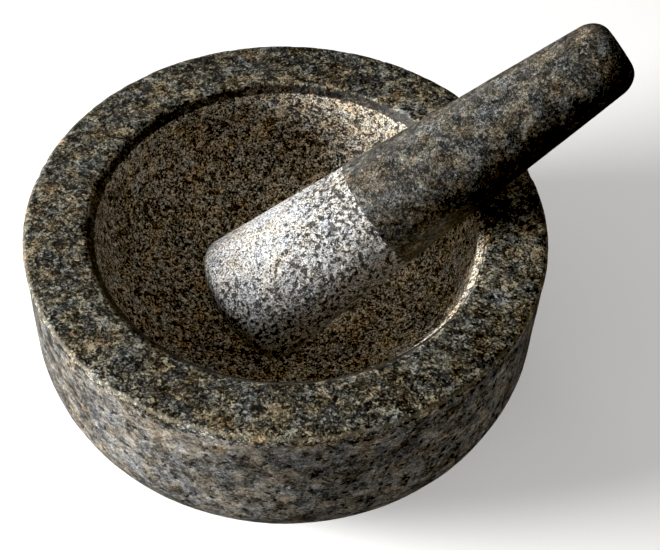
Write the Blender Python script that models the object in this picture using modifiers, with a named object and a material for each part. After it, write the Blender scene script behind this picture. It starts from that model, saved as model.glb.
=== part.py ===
"""A low, thick-walled granite mortar with its pestle lying in the bowl.

Origin: centre of the mortar's flat base. +Z is up. The pestle leans towards +X, turned a little
towards +Y, with its grinding head on the bowl's floor and its shaft on the inner edge of the rim.
Both pieces are single turned stones, so each is one outline spun round its own axis.
"""
from math import cos, pi, radians, sin

import bpy

# Mortar, in metres
MORTAR_RADIUS = 0.100        # outer radius of the rim and of the straight wall
MORTAR_HEIGHT = 0.086        # base to rim
OPENING_RADIUS = 0.0758      # inner edge of the flat rim
BOWL_DEPTH = 0.0590          # rim to the middle of the floor
BOWL_FULLNESS = 2.4          # 2 is an elliptical bowl, larger is fuller
LIP_INSET = 0.0030           # bevelled lip just inside the rim: how far it runs inwards
LIP_DROP = 0.0040            # and how far it drops
STRAIGHT_WALL = 0.0447       # height of the straight wall below the rim
BASE_RADIUS = 0.0610         # flat face that the mortar stands on
RIM_OUTER_ROUND = 0.0018     # rounded outer edge of the rim
RIM_INNER_ROUND = 0.0008     # eased inner edge of the rim

# Pestle, in metres and degrees
PESTLE_LENGTH = 0.1836
HEAD_RADIUS = 0.02725
END_RADIUS = 0.01525
NOSE_DEPTH = 0.0132          # how far the domed grinding face runs along the axis
END_ROUND = 0.0097           # how far the rounded end runs along the axis
END_FLAT = 0.48              # flat part of the end, as a fraction of END_RADIUS
PESTLE_LEAN = 32.4           # axis above the horizontal
PESTLE_TURN = 19.5           # axis from +X towards +Y
TIP_X, TIP_Y = -0.0235, -0.0145   # middle of the grinding face
TIP_BELOW_RIM = 0.0415

# Facets round each piece
MORTAR_STEPS = 80
PESTLE_STEPS = 64

GRANITE = (0.190, 0.170, 0.140)
HONED_GRANITE = (0.330, 0.320, 0.300)


def arc(centre, radii, start, end, steps):
    """Points of an elliptical arc in the outline's plane, both ends included."""
    angles = [radians(start + (end - start) * i / steps) for i in range(steps + 1)]
    return [(centre[0] + radii[0] * cos(a), centre[1] + radii[1] * sin(a)) for a in angles]


def bowl_curve(steps=12):
    """The hollow, from the middle of its floor up to the foot of the lip."""
    wall_radius = OPENING_RADIUS - LIP_INSET
    lip_foot = MORTAR_HEIGHT - LIP_DROP
    depth = BOWL_DEPTH - LIP_DROP
    points = [(0.0, MORTAR_HEIGHT - BOWL_DEPTH)]
    for i in range(1, steps + 1):
        angle = pi / 2 * (1 - i / steps)
        points.append((wall_radius * cos(angle) ** (2 / BOWL_FULLNESS),
                       lip_foot - depth * sin(angle) ** (2 / BOWL_FULLNESS)))
    return points


def mortar_outline():
    """Up the hollow from its floor, over the rim, down the wall and under to the axis."""
    rim = MORTAR_HEIGHT
    inner_edge = arc((OPENING_RADIUS + RIM_INNER_ROUND, rim - RIM_INNER_ROUND),
                     (RIM_INNER_ROUND, RIM_INNER_ROUND), 180, 90, 2)
    outer_edge = arc((MORTAR_RADIUS - RIM_OUTER_ROUND, rim - RIM_OUTER_ROUND),
                     (RIM_OUTER_ROUND, RIM_OUTER_ROUND), 90, 0, 3)
    foot = arc((BASE_RADIUS, rim - STRAIGHT_WALL),
               (MORTAR_RADIUS - BASE_RADIUS, rim - STRAIGHT_WALL), 0, -90, 9)
    return bowl_curve() + inner_edge + outer_edge + foot + [(0.0, 0.0)]


def pestle_outline():
    """Down from the top end, along the straight taper, to the middle of the grinding face."""
    flat = END_RADIUS * END_FLAT
    end = arc((flat, PESTLE_LENGTH - END_ROUND), (END_RADIUS - flat, END_ROUND), 90, 0, 6)
    nose = arc((0.0, NOSE_DEPTH), (HEAD_RADIUS, NOSE_DEPTH), 0, -90, 10)[:-1]
    return [(0.0, PESTLE_LENGTH)] + end + nose + [(0.0, 0.0)]


def stone(name, color, roughness):
    material = bpy.data.materials.new(name)
    material.use_nodes = True
    shader = material.node_tree.nodes["Principled BSDF"]
    shader.inputs["Base Color"].default_value = (*color, 1.0)
    shader.inputs["Roughness"].default_value = roughness
    shader.inputs["Metallic"].default_value = 0.0
    return material


def turned(name, outline, steps, material, collection):
    """One closed solid: the outline spun round the object's own Z axis."""
    mesh = bpy.data.meshes.new(name)
    edges = [(i, i + 1) for i in range(len(outline) - 1)]
    mesh.from_pydata([(r, 0.0, z) for r, z in outline], edges, [])
    mesh.materials.append(material)
    piece = bpy.data.objects.new(name, mesh)
    collection.objects.link(piece)
    screw = piece.modifiers.new("turned", "SCREW")
    screw.axis = "Z"
    screw.steps = steps
    screw.render_steps = steps
    screw.use_merge_vertices = True
    screw.merge_threshold = 0.00001
    screw.use_smooth_shade = True
    return piece


def build():
    for old in list(bpy.data.objects):
        bpy.data.objects.remove(old, do_unlink=True)
    parts = bpy.data.collections.new("molcajete")
    bpy.context.scene.collection.children.link(parts)

    turned("mortar", mortar_outline(), MORTAR_STEPS, stone("granite", GRANITE, 0.45), parts)

    pestle = turned("pestle", pestle_outline(), PESTLE_STEPS,
                    stone("honed_granite", HONED_GRANITE, 0.40), parts)
    pestle.location = (TIP_X, TIP_Y, MORTAR_HEIGHT - TIP_BELOW_RIM)
    pestle.rotation_euler = (0.0, pi / 2 - radians(PESTLE_LEAN), radians(PESTLE_TURN))


build()
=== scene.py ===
"""Looks for the granite mortar and pestle: honed outside, ground pale where the two stones rub.

In the frame's own space: origin at the centre of the mortar's base, +Z up. Outlines, wear and the
patterns in the stone are in millimetres. Meshes, lights and the camera are in metres. Each stone
is spun from its outline on a fine grid and then worn by noise, chips and pits. All of that wear
only takes stone away, so each piece stays inside its CAD box and clear of the other.
"""
from math import cos, pi, radians, sin
from random import Random

import bpy
import numpy as np
from mathutils import Matrix, Vector, noise


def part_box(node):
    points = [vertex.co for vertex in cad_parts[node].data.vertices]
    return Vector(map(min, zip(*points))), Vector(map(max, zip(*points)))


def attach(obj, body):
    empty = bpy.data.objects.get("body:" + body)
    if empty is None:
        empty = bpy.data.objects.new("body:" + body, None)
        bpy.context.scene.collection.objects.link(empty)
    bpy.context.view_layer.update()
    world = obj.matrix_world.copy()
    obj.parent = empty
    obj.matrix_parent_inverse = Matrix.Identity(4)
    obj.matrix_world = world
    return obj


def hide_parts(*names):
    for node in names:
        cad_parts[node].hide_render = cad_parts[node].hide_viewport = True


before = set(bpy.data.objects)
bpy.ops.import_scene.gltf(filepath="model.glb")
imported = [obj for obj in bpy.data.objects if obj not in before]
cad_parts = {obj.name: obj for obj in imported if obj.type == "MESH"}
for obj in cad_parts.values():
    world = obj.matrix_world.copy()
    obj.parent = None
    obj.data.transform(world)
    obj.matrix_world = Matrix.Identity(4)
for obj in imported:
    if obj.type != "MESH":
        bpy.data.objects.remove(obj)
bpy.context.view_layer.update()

MM = 0.001

# Outlines, in millimetres and degrees, as in the CAD solids
mortar_low, mortar_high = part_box("mortar")
RIM_RADIUS = (mortar_high.x - mortar_low.x) / 2 / MM
RIM_HEIGHT = mortar_high.z / MM
OPENING_RADIUS = 75.8        # inner edge of the flat rim
BOWL_DEPTH = 59.0            # rim to the middle of the floor
BOWL_FULLNESS = 2.4          # 2 is an elliptical bowl, larger is fuller
LIP_INSET = 3.0              # bevelled lip just inside the rim: how far it runs inwards
LIP_DROP = 4.0               # and how far it drops
STRAIGHT_WALL = 44.7         # height of the straight wall below the rim
BASE_RADIUS = 61.0           # flat face that the mortar stands on
RIM_OUTER_ROUND = 1.8
RIM_INNER_ROUND = 0.8

PESTLE_LENGTH = 183.6
HEAD_RADIUS = 27.25
END_RADIUS = 15.25
NOSE_DEPTH = 13.2            # how far the domed grinding face runs along the axis
END_ROUND = 9.7              # how far the rounded end runs along the axis
END_FLAT = 0.48              # flat part of the end, as a fraction of END_RADIUS
PESTLE_LEAN = 32.4           # axis above the horizontal
PESTLE_TURN = 19.5           # axis from +X towards +Y
TIP = Vector((-23.5, -14.5, RIM_HEIGHT - 41.5))   # middle of the grinding face

# Use and finish, in millimetres and degrees
HONED_FROM = 72.7            # from the tip to the ring where the ground face ends
HEAD_HIGHLIGHT_SPOT = (-24.0, 9.0, 30.0)   # middle of a painted highlight on the head's upper side, in the pestle's own space
RUBBED_SIDE = -14            # part of the lip that the pestle rubs, from +X towards +Y
MORTAR_SOFTNESS = 0.45       # how much the corners of each outline are eased
PESTLE_SOFTNESS = 0.5
LIP_SOFTNESS = 0.8
LIP_REACH = 9.0              # how far from the rim's inner edge the lip's softness fades

# Grid
FINE_STEP = 0.05             # between the points of an outline, before it is cut into rings
CLOSE_RINGS = 0.45           # between rings where an edge or a change of finish needs them
PESTLE_RINGS = 0.75
MORTAR_RINGS = 1.35
BASE_RINGS = 3.0
MORTAR_SECTORS = 400
PESTLE_SECTORS = 256


# ---------------------------------------------------------------- outlines

def arc(centre, radii, start, end, steps=40):
    """Points of an elliptical arc, from the start angle to the end angle in degrees."""
    angles = np.radians(np.linspace(start, end, steps + 1))
    return np.stack([centre[0] + radii[0] * np.cos(angles),
                     centre[1] + radii[1] * np.sin(angles)], axis=1)


def mortar_outline():
    """Named stretches from the middle of the floor, over the rim, to the middle of the base."""
    wall = OPENING_RADIUS - LIP_INSET
    foot_of_lip = RIM_HEIGHT - LIP_DROP
    depth = BOWL_DEPTH - LIP_DROP
    angles = np.linspace(pi / 2, 0, 600)
    power = 2 / BOWL_FULLNESS
    bowl = np.stack([wall * np.cos(angles) ** power,
                     foot_of_lip - depth * np.sin(angles) ** power], axis=1)
    bowl[0] = (0.0, RIM_HEIGHT - BOWL_DEPTH)
    return {
        "bowl": bowl,
        "lip": arc((OPENING_RADIUS + RIM_INNER_ROUND, RIM_HEIGHT - RIM_INNER_ROUND),
                   (RIM_INNER_ROUND, RIM_INNER_ROUND), 180, 90),
        "edge": arc((RIM_RADIUS - RIM_OUTER_ROUND, RIM_HEIGHT - RIM_OUTER_ROUND),
                    (RIM_OUTER_ROUND, RIM_OUTER_ROUND), 90, 0),
        "belly": arc((BASE_RADIUS, RIM_HEIGHT - STRAIGHT_WALL),
                     (RIM_RADIUS - BASE_RADIUS, RIM_HEIGHT - STRAIGHT_WALL), 0, -90, 90),
        "base": np.array([[0.0, 0.0]]),
    }


def pestle_outline():
    """Named stretches from the middle of the top end to the middle of the grinding face."""
    flat = END_RADIUS * END_FLAT
    return {
        "top": np.array([[0.0, PESTLE_LENGTH]]),
        "end": arc((flat, PESTLE_LENGTH - END_ROUND), (END_RADIUS - flat, END_ROUND), 90, 0, 80),
        "nose": arc((0.0, NOSE_DEPTH), (HEAD_RADIUS, NOSE_DEPTH), 0, -90, 120),
    }


def eased(points, width):
    """The outline rounded at its corners. It is mirrored at the axis, so that it ends squarely."""
    reach = int(4 * width)
    mirror = np.array([-1.0, 1.0])
    padded = np.concatenate([points[1:reach + 1][::-1] * mirror, points,
                             points[-reach - 1:-1][::-1] * mirror])
    kernel = np.exp(-0.5 * (np.arange(-reach, reach + 1) / width) ** 2)
    kernel /= kernel.sum()
    rounded = np.stack([np.convolve(padded[:, k], kernel, "valid") for k in (0, 1)], axis=1)
    rounded[0, 0] = rounded[-1, 0] = 0.0
    return rounded


class Outline:
    """An outline eased at its corners and cut into rings.

    points, normals and at are each ring's (radius, height), its outward direction and its
    distance along the outline. start and stop say where each named stretch lies. The lip is
    eased more than the rest.
    """

    def __init__(self, stretches, softness):
        corners = np.concatenate(list(stretches.values()))
        steps = np.hypot(*np.diff(corners, axis=0).T)
        reached = np.concatenate([[0.0], np.cumsum(steps)])
        self.start = {}
        self.stop = {}
        index = 0
        for name, stretch in stretches.items():
            self.start[name] = reached[index]
            index += len(stretch)
            self.stop[name] = reached[index - 1]
        self.length = reached[-1]

        self.fine_at = np.linspace(0, self.length, int(self.length / FINE_STEP))
        fine = np.stack([np.interp(self.fine_at, reached, corners[:, k]) for k in (0, 1)], axis=1)
        self.fine = eased(fine, softness / FINE_STEP)
        if "lip" in stretches:
            weight = band(self.fine_at, self.start["lip"], LIP_REACH)[:, None]
            self.fine += (eased(fine, LIP_SOFTNESS / FINE_STEP) - self.fine) * weight

    def cut(self, spacing):
        """Cuts the rings, spacing(at) apart."""
        at = self.fine_at[::10]     # close enough, because the spacing changes slowly
        density = np.array([1 / spacing(x) for x in at])
        total = np.concatenate([[0.0], np.cumsum(np.diff(at) * density[:-1])])
        wanted = np.linspace(0, total[-1], int(round(total[-1])) + 1)
        self.at = np.interp(wanted, total, at)
        self.at[-1] = self.length
        self.points = self.sample(self.fine)
        slope = self.sample(np.gradient(self.fine, axis=0))
        self.normals = np.stack([-slope[:, 1], slope[:, 0]], axis=1)
        self.normals /= np.hypot(*self.normals.T)[:, None]

    def sample(self, values):
        """Values kept along the fine outline, as they are at each ring."""
        return np.stack([np.interp(self.at, self.fine_at, values[:, k]) for k in (0, 1)], axis=1)


# ---------------------------------------------------------------- wear

def fractal(points, size, octaves, seed):
    """Noise of about -1 to 1 at each point, its largest features about size millimetres."""
    shift = Vector((seed * 17.3, seed * -9.1, seed * 5.7))
    values = [noise.fractal(Vector(p) / size + shift, 1.0, 2.0, octaves) for p in points]
    return np.clip(values, -1, 1)


def unit(values, low, high):
    """0 below low, 1 above high, eased between."""
    t = np.clip((values - low) / (high - low), 0, 1)
    return t * t * (3 - 2 * t)


def band(at, centre, half_width):
    """1 at the centre, fading to almost 0 at twice the half width to each side."""
    return np.exp(-((at - centre) / half_width) ** 2)


def chips(points, random, count, largest, place):
    """Depth of shell-shaped bites, most of them small. place(random) gives the middle of one."""
    depth = np.zeros(len(points))
    for _ in range(count):
        middle = place(random)
        radius = 1.0 + (largest - 1.0) * random.random() ** 2
        deepest = 0.15 + 0.14 * radius
        away = np.linalg.norm(points - np.array(middle), axis=1)
        depth = np.maximum(depth, deepest * (1 - unit(away, 0.35 * radius, radius)))
    return depth


def round_ring(radius, low, high):
    """Places on a ring of this radius, between two heights."""
    def place(random):
        turn = random.uniform(0, 2 * pi)
        return radius * cos(turn), radius * sin(turn), random.uniform(low, high)
    return place


def mortar_wear(points, at, outline):
    """Millimetres of stone lost at each point of the mortar."""
    lip_foot = outline.stop["bowl"]
    lip_top = outline.stop["lip"]
    edge = (outline.start["edge"] + outline.stop["edge"]) / 2
    broad = 0.5 + 0.5 * fractal(points, 34, 2, 1)
    middling = 0.5 + 0.5 * fractal(points, 9, 2, 2)
    grit = 0.5 + 0.5 * fractal(points, 3.4, 3, 3)

    # Where each kind of surface lies, then what it loses
    bowl = 1 - unit(at, lip_foot - 1.5, lip_foot + 0.5)
    rim = unit(at, lip_top - 1, lip_top + 2) * (1 - unit(at, edge - 4, edge - 1))
    wall = unit(at, edge + 1, edge + 5) * unit(points[:, 2], 0.3, 4.0)
    depth = 0.10 * rim * broad
    depth += wall * (0.40 * broad + 0.14 * middling + 0.06 * grit)
    depth += bowl * (0.30 * middling + 0.34 * grit + 0.45 * unit(grit, 0.66, 0.82))
    depth += band(at, edge, 1.9) * (0.10 + 0.15 * middling
                                    + 0.25 * unit(fractal(points, 7, 3, 4), 0.0, 0.8))
    depth += band(at, lip_top, 2.6) * (0.15 + 0.25 * unit(fractal(points, 6, 3, 5), -0.2, 0.8))

    random = Random(11)
    depth += chips(points, random, 22, 2.4,
                   round_ring(RIM_RADIUS - 0.4, RIM_HEIGHT - 1.6, RIM_HEIGHT - 0.2))
    depth += chips(points, random, 16, 1.8,
                   round_ring(OPENING_RADIUS - 0.3, RIM_HEIGHT - 1.8, RIM_HEIGHT - 0.2))
    return depth


def pestle_wear(points, at, outline):
    """Millimetres of stone lost at each point of the pestle, in the pestle's own space."""
    broad = 0.5 + 0.5 * fractal(points, 30, 2, 6)
    grit = 0.5 + 0.5 * fractal(points, 3.0, 3, 7)
    ragged = 0.9 * fractal(points, 5.0, 3, 8)
    ground = 1 - unit(points[:, 2] + ragged, HONED_FROM - 0.5, HONED_FROM + 0.5)
    depth = 0.12 + (1 - ground) * 0.22 * broad
    depth += ground * (0.26 + 0.28 * grit + 0.35 * unit(grit, 0.66, 0.84))
    depth += band(at, outline.start["end"], 6) * 0.25 * unit(fractal(points, 6, 3, 9), 0, 0.8)
    depth += chips(points, Random(5), 24, 2.4,
                   round_ring(24.0, HONED_FROM - 0.6, HONED_FROM + 1.2))
    return depth


# ---------------------------------------------------------------- meshes

def turned(name, outline, sectors, wear, unfold, place=Matrix()):
    """A closed stone: the outline spun round Z, worn and put in place.

    It keeps its own millimetres and the distance along its outline for its material, and has a
    flat layout for baking.
    """
    angle = np.arange(sectors) * 2 * pi / sectors
    inner = slice(1, len(outline.at) - 1)
    around = np.stack([np.cos(angle), np.sin(angle), np.ones(sectors)], axis=1)

    def spun(values):
        ring = np.stack([values[inner, 0], values[inner, 0], values[inner, 1]], axis=1)
        ends = [[0, 0, values[0, 1]], [0, 0, values[-1, 1]]]
        return np.concatenate([(ring[:, None, :] * around[None]).reshape(-1, 3), ends])

    at = np.concatenate([np.repeat(outline.at[inner], sectors), outline.at[[0, -1]]])
    points = spun(outline.points)
    points -= spun(outline.normals) * wear(points, at, outline)[:, None]

    # Faces as (ring, sector) corners. Ring 0 and the last one are the single points on the axis.
    last = len(outline.at) - 1
    ring, sector = (grid.ravel() for grid in
                    np.meshgrid(np.arange(1, last - 1), np.arange(sectors), indexing="ij"))
    each = np.arange(sectors)
    faces = [
        (np.stack([ring, ring + 1, ring + 1, ring], 1),
         np.stack([sector, sector, sector + 1, sector + 1], 1)),
        (np.tile([0, 1, 1], (sectors, 1)), np.stack([each, each, each + 1], 1)),
        (np.tile([last, last - 1, last - 1], (sectors, 1)), np.stack([each, each + 1, each], 1)),
    ]
    corners = []
    places = []
    for rows, columns in faces:
        index = (rows - 1) * sectors + columns % sectors
        index = np.where(rows == 0, len(points) - 2, np.where(rows == last, len(points) - 1, index))
        corners += index.tolist()
        places.append(unfold(outline, outline.at[rows], columns * 2 * pi / sectors).reshape(-1, 2))

    mesh = bpy.data.meshes.new(name)
    mesh.from_pydata((points * MM).tolist(), [], corners)
    mesh.transform(place)
    mesh.polygons.foreach_set("use_smooth", [True] * len(mesh.polygons))
    mesh.attributes.new("stone_mm", "FLOAT_VECTOR", "POINT").data.foreach_set(
        "vector", points.astype(np.float32).ravel())
    mesh.attributes.new("outline_mm", "FLOAT", "POINT").data.foreach_set(
        "value", at.astype(np.float32))
    mesh.uv_layers.new(name="OFBake").data.foreach_set(
        "uv", np.concatenate(places).astype(np.float32).ravel())
    mesh.update()
    piece = bpy.data.objects.new(name, mesh)
    bpy.context.scene.collection.objects.link(piece)
    return piece


def disc(x, y, reach, angle):
    """Places in a flat disc round (x, y)."""
    return np.stack([x + reach * np.cos(angle), y + reach * np.sin(angle)], axis=2)


def unfold_mortar(outline, at, angle):
    """Bowl and rim as one disc, belly and base as another, the wall as two strips."""
    side = 520.0
    margin = 4
    bowl_middle = 137
    base_middle = 122
    near_strip = 285
    far_strip = 340
    seam = (outline.start["edge"] + outline.stop["edge"]) / 2
    middle = at.mean(axis=1)[:, None, None]
    far_half = angle.mean(axis=1, keepdims=True) > pi
    strip = np.stack([margin + (angle - np.where(far_half, pi, 0)) * RIM_RADIUS,
                      np.where(far_half, far_strip, near_strip) + at - seam], axis=2)
    base = disc(side - base_middle, base_middle, outline.length - at, angle)
    flat = np.where(middle < outline.start["belly"], strip, base)
    return np.where(middle < seam, disc(bowl_middle, bowl_middle, at, angle), flat) / side


def unfold_pestle(outline, at, angle):
    """Top end and grinding face as discs, the tapered side as one sheet."""
    side = 250.0
    margin = 4
    sheet_left = 76
    disc_middle = 38
    end_height = 110
    middle = at.mean(axis=1)[:, None, None]
    sheet = np.stack([sheet_left + angle * HEAD_RADIUS, margin + at - outline.stop["end"]], axis=2)
    nose = disc(disc_middle, disc_middle, outline.length - at, angle)
    end = disc(disc_middle, end_height, at, angle)
    flat = np.where(middle < outline.start["nose"], sheet, nose)
    return np.where(middle < outline.stop["end"], end, flat) / side


# ---------------------------------------------------------------- stone material

class Stone:
    """A procedural granite: the node tree of one material, with short names for its nodes."""

    def __init__(self, name):
        self.material = bpy.data.materials.new(name)
        self.material.use_nodes = True
        self.tree = self.material.node_tree
        self.shader = self.tree.nodes["Principled BSDF"]

    def feed(self, socket, value):
        """Sets a socket to a number or colour, or links another node's output to it."""
        if isinstance(value, bpy.types.NodeSocket):
            self.tree.links.new(value, socket)
        else:
            socket.default_value = value

    def node(self, kind, **settings):
        made = self.tree.nodes.new("ShaderNode" + kind)
        for key, value in settings.items():
            setattr(made, key, value)
        return made

    def value_of(self, rule):
        """What a function makes of this stone, or the number or colour given in its place."""
        return rule(self) if callable(rule) else rule

    def place(self):
        """The point in the stone's own space, in millimetres."""
        return self.node("Attribute", attribute_name="stone_mm").outputs["Vector"]

    def at(self):
        """The distance along the stone's outline, in millimetres."""
        return self.node("Attribute", attribute_name="outline_mm").outputs["Fac"]

    def axes(self):
        """The point's X, Y and Z in the stone's own space."""
        made = self.node("SeparateXYZ")
        self.feed(made.inputs[0], self.place())
        return made.outputs

    def math(self, operation, a, b=0.0, clamp=False):
        """A sum on two numbers or sockets."""
        made = self.node("Math", operation=operation, use_clamp=clamp)
        self.feed(made.inputs[0], a)
        self.feed(made.inputs[1], b)
        return made.outputs[0]

    def about(self, value, amount):
        """How far a value lies from 0.5, times the amount."""
        return self.math("MULTIPLY", self.math("SUBTRACT", value, 0.5), amount)

    def inverse(self, value):
        return self.math("SUBTRACT", 1.0, value)

    def total(self, first, *rest):
        for value in rest:
            first = self.math("ADD", first, value)
        return first

    def step(self, value, low, high):
        """0 below low, 1 above high, eased between."""
        made = self.node("MapRange", interpolation_type="SMOOTHSTEP")
        self.feed(made.inputs["Value"], value)
        self.feed(made.inputs["From Min"], low)
        self.feed(made.inputs["From Max"], high)
        return made.outputs["Result"]

    def mix(self, factor, a, b):
        """A number from a to b as the factor goes from 0 to 1."""
        made = self.node("Mix", data_type="FLOAT")
        self.feed(made.inputs[0], factor)
        self.feed(made.inputs[2], a)
        self.feed(made.inputs[3], b)
        return made.outputs[0]

    def blend(self, factor, a, b, kind="MIX"):
        """A colour from a to b, or from a to a times b, as the factor goes from 0 to 1."""
        made = self.node("Mix", data_type="RGBA", blend_type=kind)
        self.feed(made.inputs[0], factor)
        for socket, value in ((made.inputs[6], a), (made.inputs[7], b)):
            self.feed(socket, (*value, 1.0) if isinstance(value, tuple) else value)
        return made.outputs[2]

    def noise(self, where, size, detail, roughness=0.5):
        """Soft noise, about 0 to 1, its largest features about this size in millimetres."""
        made = self.node("TexNoise")
        self.feed(made.inputs["Vector"], where)
        self.feed(made.inputs["Scale"], 1 / size)
        self.feed(made.inputs["Detail"], detail)
        self.feed(made.inputs["Roughness"], roughness)
        return made

    def crystals(self, where, size):
        """Three random values for each grain of this size in millimetres."""
        grains = self.node("TexVoronoi", feature="F1")
        self.feed(grains.inputs["Vector"], where)
        self.feed(grains.inputs["Scale"], 1 / size)
        made = self.node("SeparateColor")
        self.feed(made.inputs[0], grains.outputs["Color"])
        return made.outputs

    def ramp(self, value, stops):
        """The colour of a value. A stop is its position and a colour or a grey."""
        made = self.node("ValToRGB")
        elements = made.color_ramp.elements
        while len(elements) < len(stops):
            elements.new(0.5)
        for element, (position, color) in zip(elements, stops):
            element.position = position
            element.color = (*color, 1.0) if isinstance(color, tuple) else (color,) * 3 + (1.0,)
        self.feed(made.inputs[0], value)
        return made.outputs[0]

    def shifted(self, where, color, amount):
        """The place moved by up to half the amount, in millimetres, by a noise colour."""
        centred = self.node("VectorMath", operation="SUBTRACT")
        self.feed(centred.inputs[0], color)
        self.feed(centred.inputs[1], (0.5, 0.5, 0.5))
        moved = self.node("VectorMath", operation="MULTIPLY_ADD")
        self.feed(moved.inputs[0], centred.outputs[0])
        self.feed(moved.inputs[1], (amount,) * 3)
        self.feed(moved.inputs[2], where)
        return moved.outputs[0]


HONED_TONES = [(0.00, 0.004), (0.22, 0.009), (0.38, 0.026), (0.52, 0.068), (0.66, 0.125),
               (0.82, 0.215), (1.00, 0.400)]
GROUND_TONES = [(0.00, 0.012), (0.24, 0.045), (0.40, 0.150), (0.54, 0.350), (0.70, 0.640),
                (0.90, 0.920)]
HONED_TINTS = [(0.28, (0.84, 0.92, 1.03)), (0.42, (0.94, 0.97, 0.93)), (0.50, (1.03, 0.97, 0.80)),
               (0.60, (1.10, 0.95, 0.68)), (0.70, (1.22, 0.88, 0.50)), (0.82, (1.12, 0.74, 0.48))]
BOWL_TINTS = [(0.30, (0.93, 0.91, 0.84)), (0.44, (0.99, 0.90, 0.74)), (0.56, (1.02, 0.86, 0.63)),
              (0.70, (1.07, 0.79, 0.48)), (0.82, (1.00, 0.70, 0.40))]
HEAD_TINTS = [(0.28, (0.92, 0.97, 1.05)), (0.42, (0.99, 0.99, 0.98)), (0.56, (1.03, 0.98, 0.90)),
              (0.76, (1.00, 0.89, 0.72))]
EVEN_TINT = (1.0, 0.97, 0.98)       # honed stone where it is evenest
EVEN_TONE = 0.52
FLECK = (0.008, 0.008, 0.008)       # single black crystals in honed stone
DARK_PATCH = (0.012, 0.012, 0.012)  # groups of them
BLOT = (0.022, 0.020, 0.017)        # dark crystals in ground stone
WORN_EDGE = (0.24, 0.20, 0.13)      # dust-coloured edges

CRYSTAL_SIZES = (1.8, 1.0, 0.72, 0.55, 0.38)   # as multiples of the grain
CLUMP_SIZE = 5.4             # groups of crystals, in millimetres
FIELD_SIZE = 24.0            # and the light and dark areas that they lie in
SPECULAR = 0.32


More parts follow.
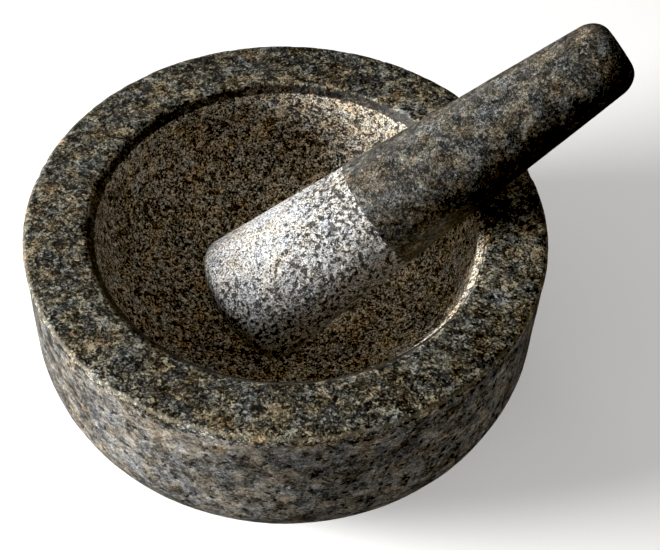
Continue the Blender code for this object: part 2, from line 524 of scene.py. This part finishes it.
def granite(name, grain, ground_tints, ground_mask, paleness_and_painted_light, honed_tone_and_painted_shade, evenness, blots_and_painted_light,
            marks=0.5, edge_mask=None):
    """Speckled granite, honed dark where it is finished and pale where it is ground.

    grain is the size of a middling crystal in millimetres. ground_tints colour the ground stone.
    ground_mask(stone, ragged) is 1 where it is ground, and edge_mask(stone, ragged) is 1 along
    worn edges. The others are numbers or colours, or functions of the stone that make them.
    How pale the ground stone is says how little of it is dark; on the mortar this is also
    painted light, paler high up on the bowl's +X side where the key light falls. The tone of
    the honed stone darkens or lightens it; on the mortar it also paints shade, a dark band on
    the lip. evenness takes speckle and tint out of the honed stone. The level for dark crystals
    is higher where they are fewer; on the pestle it also paints a highlight, fewer of them on
    the head's lit upper side, and shade, more of them on its lower side. marks is more or less
    than 0.5 along the marks left by grinding.
    """
    stone = Stone(name)
    place = stone.place()
    evenness = stone.value_of(evenness)
    blots_and_painted_light = stone.value_of(blots_and_painted_light)
    marks = stone.value_of(marks)

    swirl = stone.noise(place, 1.5, 2.0).outputs["Color"]
    warped = stone.shifted(place, swirl, 1.2)
    coarse, middling, small, fine, dust = (
        stone.crystals(warped, grain * size) for size in CRYSTAL_SIZES)
    clump = stone.noise(place, CLUMP_SIZE, 3.0, 0.6).outputs[0]
    field = stone.noise(place, FIELD_SIZE, 2.0, 0.5).outputs[0]

    # What the honed and the ground stone share: hue, and where dark crystals gather
    hue = stone.total(stone.noise(stone.shifted(place, swirl, 4.0), 8.0, 3.0, 0.6).outputs[0],
                      stone.about(coarse[2], 0.07), stone.about(middling[2], 0.05))
    patch = stone.total(stone.noise(warped, grain * 2.6, 2.5, 0.6).outputs[0],
                        stone.about(small[1], 0.08), stone.about(marks, 0.25),
                        stone.about(clump, 0.20))

    # Honed stone
    cloudy = stone.total(0.50, stone.about(clump, 1.12), stone.about(field, 0.55))
    tone = stone.total(cloudy, stone.about(coarse[0], 0.42), stone.about(small[0], 0.66),
                       stone.about(fine[0], 0.52))
    tone = stone.mix(evenness, tone, stone.mix(0.4, cloudy, EVEN_TONE))
    fleck = stone.math("MULTIPLY", stone.step(coarse[1], 0.86, 0.90),
                       stone.step(middling[1], 0.34, 0.40))
    dark = stone.math("MULTIPLY", stone.step(patch, 0.54, 0.62),
                      stone.math("SUBTRACT", 0.60, evenness, clamp=True))
    tint = stone.blend(stone.math("MULTIPLY", evenness, 0.6), stone.ramp(hue, HONED_TINTS),
                       EVEN_TINT)
    honed = stone.blend(1.0, stone.ramp(tone, HONED_TONES), tint, "MULTIPLY")
    # on the mortar this tone also paints shade: a near-black band on the lip
    honed = stone.blend(1.0, honed, stone.value_of(honed_tone_and_painted_shade), "MULTIPLY")
    honed = stone.blend(stone.math("MULTIPLY", fleck, 0.85), honed, FLECK)
    honed = stone.blend(dark, honed, DARK_PATCH)

    # Ground stone
    # on the mortar the pale level also paints light: paler high up on the bowl's lit +X side
    speck_and_painted_light = stone.total(stone.value_of(paleness_and_painted_light), stone.about(middling[0], 0.42),
                        stone.about(fine[0], 0.62), stone.about(dust[0], 0.66),
                        stone.about(clump, 0.60), stone.about(field, 0.40),
                        stone.about(marks, 0.70))
    # on the pestle the level for dark crystals also paints a highlight on the head's lit side and
    # shade below
    blot_and_painted_light = stone.step(patch, blots_and_painted_light, stone.math("ADD", blots_and_painted_light, 0.05))
    ground = stone.blend(1.0, stone.ramp(speck_and_painted_light, GROUND_TONES), stone.ramp(hue, ground_tints),
                         "MULTIPLY")
    ground = stone.blend(stone.math("MULTIPLY", blot_and_painted_light, 0.88), ground, BLOT)

    ragged = stone.about(stone.noise(place, 2.4, 3.0, 0.65).outputs[0], 1.0)
    mask = ground_mask(stone, ragged)
    worn = edge_mask(stone, ragged) if edge_mask else 0.0
    color = stone.blend(mask, honed, ground)
    color = stone.blend(stone.math("MULTIPLY", worn, 0.35), color, WORN_EDGE)
    stone.feed(stone.shader.inputs["Base Color"], color)

    grainy = stone.noise(place, 0.7, 2.0, 0.6).outputs[0]
    lumps = stone.noise(place, 1.9, 2.0, 0.5).outputs[0]
    rough = stone.mix(stone.math("MAXIMUM", mask, worn), stone.mix(tone, 0.36, 0.56),
                      stone.mix(grainy, 0.58, 0.86))
    stone.feed(stone.shader.inputs["Roughness"], rough)
    stone.feed(stone.shader.inputs["Specular IOR Level"], SPECULAR)

    rubbed = stone.total(stone.math("MULTIPLY", blot_and_painted_light, -0.30), stone.math("MULTIPLY", grainy, 0.40),
                         stone.math("MULTIPLY", speck_and_painted_light, 0.30), stone.math("MULTIPLY", lumps, 0.45))
    smooth = stone.total(stone.math("MULTIPLY", fleck, -0.05), stone.math("MULTIPLY", grainy, 0.05),
                         stone.math("MULTIPLY", tone, 0.03))
    bump = stone.node("Bump")
    stone.feed(bump.inputs["Strength"], 1.0)
    stone.feed(bump.inputs["Distance"], MM)
    stone.feed(bump.inputs["Height"], stone.mix(mask, smooth, rubbed))
    stone.feed(stone.shader.inputs["Normal"], bump.outputs[0])
    return stone.material


# ---------------------------------------------------------------- the two stones

mortar_line = Outline(mortar_outline(), MORTAR_SOFTNESS)
lip_foot = mortar_line.stop["bowl"]
lip_top = mortar_line.stop["lip"]
rim_edge = (mortar_line.start["edge"] + mortar_line.stop["edge"]) / 2
underside = mortar_line.start["belly"] + 45     # where the belly turns under


def mortar_spacing(at):
    """Rings lie closest at the lip and at the rim's outer edge, widest on the underside."""
    if abs(at - lip_foot - 2) < 6 or abs(at - rim_edge) < 4:
        return CLOSE_RINGS
    return MORTAR_RINGS if at < underside else BASE_RINGS


mortar_line.cut(mortar_spacing)
mortar = turned("mortar_stone", mortar_line, MORTAR_SECTORS, mortar_wear, unfold_mortar)

pestle_line = Outline(pestle_outline(), PESTLE_SOFTNESS)
honed_at = pestle_line.stop["end"] + (PESTLE_LENGTH - END_ROUND - HONED_FROM)


def pestle_spacing(at):
    """Rings lie closest where the ground face ends."""
    return CLOSE_RINGS if abs(at - honed_at) < 3 else PESTLE_RINGS


pestle_line.cut(pestle_spacing)
pestle = turned("pestle_stone", pestle_line, PESTLE_SECTORS, pestle_wear, unfold_pestle,
                Matrix.Translation(TIP * MM) @ Matrix.Rotation(radians(PESTLE_TURN), 4, "Z")
                @ Matrix.Rotation(pi / 2 - radians(PESTLE_LEAN), 4, "Y"))


def bowl_ground(stone, ragged):
    """Ground up to the foot of the lip, and part of the way up the lip where the pestle rubs."""
    rubbed_way = (cos(radians(RUBBED_SIDE)), sin(radians(RUBBED_SIDE)), 0.0)
    towards = stone.node("VectorMath", operation="DOT_PRODUCT")
    stone.feed(towards.inputs[0], stone.place())
    stone.feed(towards.inputs[1], rubbed_way)
    higher = stone.math("MULTIPLY", stone.step(towards.outputs["Value"], 50.0, 74.0), 3.2)
    at = stone.total(stone.math("SUBTRACT", stone.at(), higher),
                     stone.math("MULTIPLY", ragged, 1.8))
    return stone.inverse(stone.step(at, lip_foot + 0.3, lip_foot + 1.0))


def bowl_marks(stone):
    """Streaks up the steep part of the bowl, finer round it than up it."""
    x, y, z = stone.axes()
    turn = stone.math("ARCTAN2", y, x)
    streak = stone.node("CombineXYZ")
    stone.feed(streak.inputs[0], stone.math("MULTIPLY", turn, OPENING_RADIUS))
    stone.feed(streak.inputs[1], stone.math("MULTIPLY", stone.at(), 0.16))
    value = stone.noise(streak.outputs[0], 1.3, 2.0, 0.6).outputs[0]
    return stone.mix(stone.step(z, RIM_HEIGHT - 45, RIM_HEIGHT - 20), 0.5, value)


def bowl_paleness_and_painted_light(stone):
    """Paler high up on the bowl's +X side, where the key light falls in: painted light."""
    x, _, z = stone.axes()
    high = stone.step(z, RIM_HEIGHT - 45, RIM_HEIGHT - 10)
    # painted light: the bowl's upper +X wall, lit by the key light, is made paler
    near = stone.step(x, -25.0, 35.0)
    return stone.mix(stone.math("MULTIPLY", high, near), 0.45, 0.60)


def rim_worn(stone, ragged):
    """A thin broken line along the rim's outer edge."""
    away = stone.math("ABSOLUTE", stone.math("SUBTRACT", stone.at(), rim_edge))
    away = stone.math("ADD", away, stone.math("MULTIPLY", ragged, 4.0))
    return stone.inverse(stone.step(away, 0.1, 1.3))


def rim_tone_and_painted_lip_shade(stone):
    """Painted shade darkens the lip's honed stone; the honed rim is darker than the wall below it.
    """
    # painted shade: the lip's colour is a near-black band
    lip = (0.27, 0.24, 0.20)
    rim = (1.20, 1.15, 1.01)
    wall = (1.85, 1.80, 1.73)
    at = stone.at()
    above = stone.blend(stone.step(at, lip_top - 1.9, lip_top - 0.9), lip, rim)
    return stone.blend(stone.step(at, rim_edge - 0.5, rim_edge + 4.0), above, wall)


def wall_evenness(stone):
    """The wall is evener than the rim."""
    return stone.mix(stone.step(stone.at(), rim_edge, rim_edge + 6.0), 0.06, 0.66)


def head_ground(stone, ragged):
    """Ground from the grinding face up to a ragged ring round the pestle."""
    along = stone.math("ADD", stone.axes()[2], stone.math("MULTIPLY", ragged, 2.6))
    return stone.inverse(stone.step(along, HONED_FROM - 0.25, HONED_FROM + 0.25))


def head_blots_and_painted_light(stone):
    """Fewest dark crystals near the head's lit upper side, more away from it: painted highlight and
    shade.
    """
    away = stone.node("VectorMath", operation="DISTANCE")
    stone.feed(away.inputs[0], stone.place())
    stone.feed(away.inputs[1], HEAD_HIGHLIGHT_SPOT)
    # painted highlight near the spot, painted shade farther off on the lower side
    return stone.mix(stone.step(away.outputs["Value"], 8.0, 32.0), 0.66, 0.515)


mortar.data.materials.append(granite(
    "mortar_granite", grain=1.05, ground_tints=BOWL_TINTS, ground_mask=bowl_ground,
    paleness_and_painted_light=bowl_paleness_and_painted_light, honed_tone_and_painted_shade=rim_tone_and_painted_lip_shade, evenness=wall_evenness, blots_and_painted_light=0.55,
    marks=bowl_marks, edge_mask=rim_worn))
pestle.data.materials.append(granite(
    "pestle_granite", grain=0.75, ground_tints=HEAD_TINTS, ground_mask=head_ground,
    paleness_and_painted_light=0.68, honed_tone_and_painted_shade=(0.94, 0.91, 0.84), evenness=0.32, blots_and_painted_light=head_blots_and_painted_light))

for piece, body in ((mortar, "mortar"), (pestle, "pestle")):
    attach(piece, body)
    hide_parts(body)


# ---------------------------------------------------------------- studio

FLOOR_COLOR = (0.86, 0.855, 0.845)
FLOOR_SIZE = 6.0             # to each side of the object, in metres
FLOOR_LIGHT = 1.35           # strength of the floor's own light
BOWL_LIGHT_AT = Vector((0, 0, 0.062))

CAMERA_RISE = 48.24          # above the horizontal, in degrees
CAMERA_ROLL = 2.92
CAMERA_DISTANCE = 0.55       # from the middle of the rim
CAMERA_AIM = (0.0161, -0.0272)
CAMERA_LENS = 78.55

TABLE_SHADE = 0.35           # how bright the table is towards +X, where the stones shade it
BLACK_POINT = 0.011          # light darker than this shows as black, as in the photograph


def plain(name, color, roughness):
    """A material of one colour."""
    material = bpy.data.materials.new(name)
    material.use_nodes = True
    shader = material.node_tree.nodes["Principled BSDF"]
    shader.inputs["Base Color"].default_value = (*color, 1.0)
    shader.inputs["Roughness"].default_value = roughness
    return material


def light_only(lamp, piece):
    """The lamp lights one piece, and nothing else shades that piece from it."""
    lit = bpy.data.collections.new(lamp.name + "_only")
    lit.objects.link(piece)
    lamp.light_linking.receiver_collection = lit
    lamp.light_linking.blocker_collection = lit


def floor(size, color):
    """Pale paper with a soft light of its own. It throws no light back on the stones."""
    mesh = bpy.data.meshes.new("floor")
    mesh.from_pydata([(-size, -size, 0), (size, -size, 0), (size, size, 0), (-size, size, 0)],
                     [], [(0, 1, 2, 3)])
    mesh.materials.append(plain("floor_paper", color, 0.9))
    piece = bpy.data.objects.new("floor", mesh)
    piece.visible_diffuse = False
    piece.visible_glossy = False
    bpy.context.scene.collection.objects.link(piece)

    light = bpy.data.lights.new("floor_glow", "SUN")
    light.energy = FLOOR_LIGHT
    light.angle = radians(70)
    lamp = bpy.data.objects.new("floor_glow", light)
    bpy.context.scene.collection.objects.link(lamp)
    light_only(lamp, piece)


def softbox(name, azimuth, elevation, distance, size, watts, color=(1, 1, 1), only=None,
            target=Vector((0, 0, 0.06))):
    """A round light that points at the target and lights everything, or only one piece.

    Azimuth is from +X towards +Y, in degrees.
    """
    turn = radians(azimuth)
    rise = radians(elevation)
    way = Vector((cos(turn) * cos(rise), sin(turn) * cos(rise), sin(rise)))
    light = bpy.data.lights.new(name, "AREA")
    light.shape = "DISK"
    light.size = size
    light.energy = watts
    light.color = color
    lamp = bpy.data.objects.new(name, light)
    lamp.location = target + way * distance
    lamp.rotation_euler = way.to_track_quat("Z", "Y").to_euler()
    lamp.visible_camera = False
    bpy.context.scene.collection.objects.link(lamp)
    if only:
        light_only(lamp, only)


def camera():
    """Looks down at the stones from the front, rolled slightly."""
    height = RIM_HEIGHT * MM
    rise = radians(CAMERA_RISE)
    roll = radians(CAMERA_ROLL)
    place = Vector((0, -CAMERA_DISTANCE * cos(rise), CAMERA_DISTANCE * sin(rise) + height))
    forward = (Vector((*CAMERA_AIM, height)) - place).normalized()
    right = forward.cross(Vector((0, 0, 1))).normalized()
    up = right.cross(forward)
    across = cos(roll) * right + sin(roll) * up
    upward = cos(roll) * up - sin(roll) * right
    data = bpy.data.cameras.new("camera")
    data.sensor_width = 36.0
    data.lens = CAMERA_LENS
    data.clip_start = 0.01
    made = bpy.data.objects.new("camera", data)
    made.matrix_world = Matrix.Translation(place) @ Matrix(
        (across, upward, -forward)).transposed().to_4x4()
    bpy.context.scene.collection.objects.link(made)
    bpy.context.scene.camera = made


def surroundings(shown, above, below):
    """A pale backdrop to look at. The stones get a dimmer light, from above and off the table."""
    world = bpy.data.worlds.new("studio")
    world.use_nodes = True
    tree = world.node_tree
    tree.nodes.clear()

    def link(source, target):
        tree.links.new(source, target)

    split = tree.nodes.new("ShaderNodeSeparateXYZ")
    link(tree.nodes.new("ShaderNodeTexCoord").outputs["Generated"], split.inputs[0])

    def across(axis, low, high):
        """0 to 1 as the direction's part along an axis goes from low to high."""
        made = tree.nodes.new("ShaderNodeMapRange")
        made.inputs["From Min"].default_value = low
        made.inputs["From Max"].default_value = high
        link(split.outputs[axis], made.inputs["Value"])
        return made.outputs["Result"]

    def between(factor, a, b):
        """From a to b as the factor goes from 0 to 1."""
        made = tree.nodes.new("ShaderNodeMix")
        made.data_type = "RGBA"
        link(factor, made.inputs[0])
        for socket, value in ((made.inputs[6], a), (made.inputs[7], b)):
            if isinstance(value, tuple):
                socket.default_value = (*value, 1.0)
            else:
                link(value, socket)
        return made.outputs[2]

    shaded = tuple(TABLE_SHADE * value for value in below)
    table = between(across("X", -0.2, 0.9), below, shaded)
    fade = between(across("Z", -0.10, 0.50), table, above)
    seen, lighting = (tree.nodes.new("ShaderNodeBackground") for _ in range(2))
    seen.inputs["Color"].default_value = (*shown, 1.0)
    link(fade, lighting.inputs["Color"])
    both = tree.nodes.new("ShaderNodeMixShader")
    link(tree.nodes.new("ShaderNodeLightPath").outputs["Is Camera Ray"], both.inputs[0])
    link(lighting.outputs[0], both.inputs[1])
    link(seen.outputs[0], both.inputs[2])
    link(both.outputs[0], tree.nodes.new("ShaderNodeOutputWorld").inputs["Surface"])
    bpy.context.scene.world = world


floor(FLOOR_SIZE, FLOOR_COLOR)
softbox("key", azimuth=-170, elevation=14, distance=1.70, size=0.71, watts=86)
softbox("back", azimuth=118, elevation=12, distance=1.80, size=0.60, watts=3.6)
softbox("in_bowl", azimuth=52, elevation=14, distance=0.060, size=0.05, watts=0.018,
        color=(1.0, 0.92, 0.80), only=mortar, target=BOWL_LIGHT_AT)
softbox("low_front", azimuth=-66, elevation=1, distance=1.20, size=0.30, watts=3.8,
        color=(1.0, 0.98, 0.94), only=mortar)
surroundings(shown=(0.80, 0.80, 0.79), above=(0.165, 0.157, 0.15), below=(0.045, 0.042, 0.038))
camera()
view = bpy.context.scene.view_settings
view.view_transform = "Standard"
view.use_curve_mapping = True
view.curve_mapping.black_level = (BLACK_POINT,) * 3
